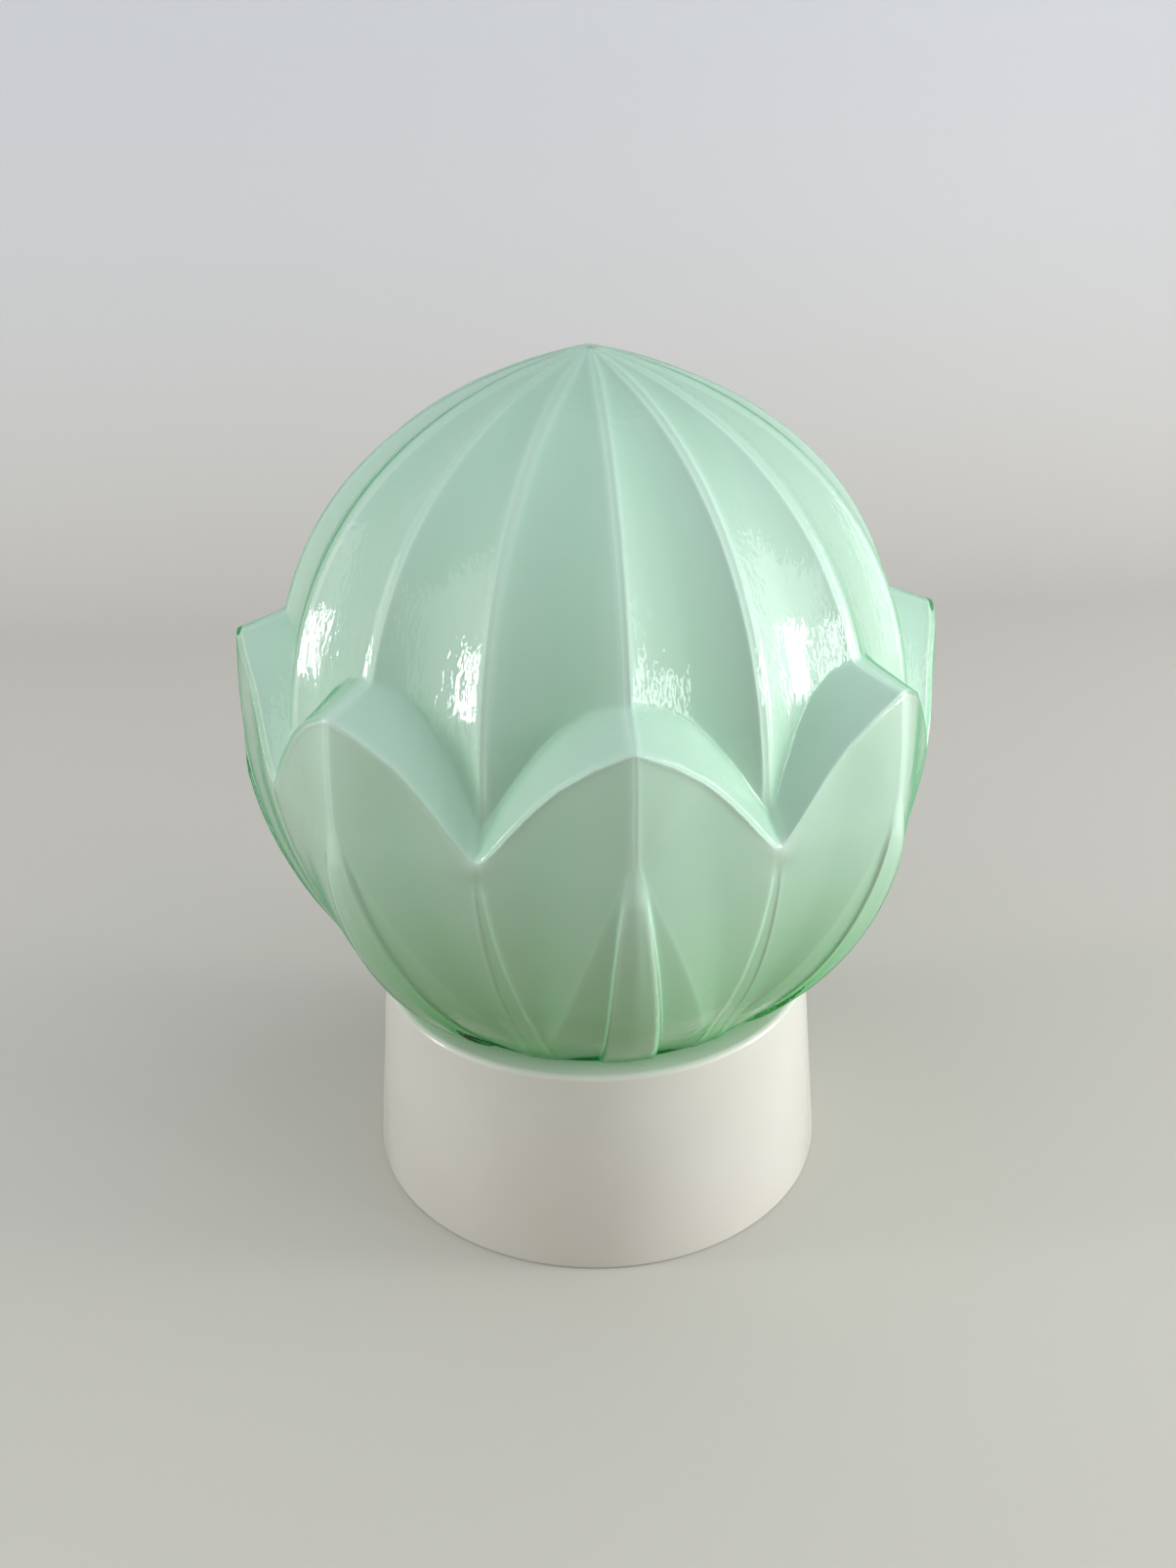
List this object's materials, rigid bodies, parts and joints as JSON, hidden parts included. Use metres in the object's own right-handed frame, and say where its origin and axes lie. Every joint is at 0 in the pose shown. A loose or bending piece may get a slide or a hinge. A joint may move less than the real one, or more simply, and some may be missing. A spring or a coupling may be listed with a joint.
{
  "type": "ceiling lamp",
  "caption": "Small ceiling lamp with a lotus-bud shade of green cased glass that screws into a white conical base over a lampholder and bulb.",
  "frame": {"origin": "centre of the base's mounting face", "axes": "+Z along the lamp's axis, from the mounting face towards the tip of the glass; the front petal looks along -Y"},
  "size_m": [0.1544, 0.1544, 0.1915],
  "materials": {
    "white_moulding": "warm white thermoset moulding, satin gloss",
    "black_rubber": "matt black rubber",
    "green_cased_glass": "clear mint-green glass cased over a white opal lining, fire-polished",
    "porcelain": "glazed white porcelain",
    "brass": "rolled brass, slightly dulled",
    "steel": "zinc-plated steel",
    "fibre": "red vulcanised fibre",
    "clear_glass": "clear thin glass",
    "cap_metal": "nickel-plated cap",
    "black_glass": "black cap glass",
    "phosphor": "yellow phosphor coating",
    "circuit_board": "green circuit board"
  },
  "bodies": {
    "base": {"base_housing": "white_moulding", "cable_grommet": "black_rubber", "lampholder_body": "porcelain", "thread_sleeve": "brass", "contact_spring": "steel", "live_strap": "brass", "neutral_strap": "brass", "live_terminal": "brass", "neutral_terminal": "brass", "terminal_screws": "steel", "holder_screws": "steel", "holder_washers": "fibre", "holder_nuts": "steel"},
    "shade_carrier": {"neck_seal": "black_rubber"},
    "shade": {"glass_shade": "green_cased_glass"},
    "bulb_carrier": {"bulb_contact": "cap_metal", "cap_insulator": "black_glass"},
    "bulb": {"bulb_cap": "cap_metal", "bulb_envelope": "clear_glass", "bulb_stem": "clear_glass", "filament_leads": "steel", "led_filaments": "phosphor", "driver_board": "circuit_board"},
    "contact": {"centre_contact": "brass"}
  },
  "joints": [
    {"name": "shade_lift", "type": "slide", "parent": "base", "child": "shade_carrier", "axis": [0, 0, 1], "range_m": [0, 0.01261]},
    {"name": "shade_turn", "type": "hinge", "parent": "shade_carrier", "child": "shade", "pos_m": [0, 0, 0.033], "axis": [0, 0, 1], "range_deg": [0, 756]},
    {"name": "bulb_lift", "type": "slide", "parent": "base", "child": "bulb_carrier", "axis": [0, 0, 1], "range_m": [0, 0.01815]},
    {"name": "bulb_turn", "type": "hinge", "parent": "bulb_carrier", "child": "bulb", "pos_m": [0, 0, 0.03], "axis": [0, 0, 1], "range_deg": [0, 1800]},
    {"name": "contact_press", "type": "slide", "parent": "base", "child": "contact", "axis": [0, 0, -1], "range_m": [0, 0.0012], "stiffness_N_per_m": 400, "springref_m": -0.001, "deforming": ["contact_spring"]}
  ],
  "couplings": [
    {"joint": "shade_lift", "follows": "shade_turn", "m_per_rad": 0.00095493},
    {"joint": "bulb_lift", "follows": "bulb_turn", "m_per_rad": 0.00057757}
  ]
}
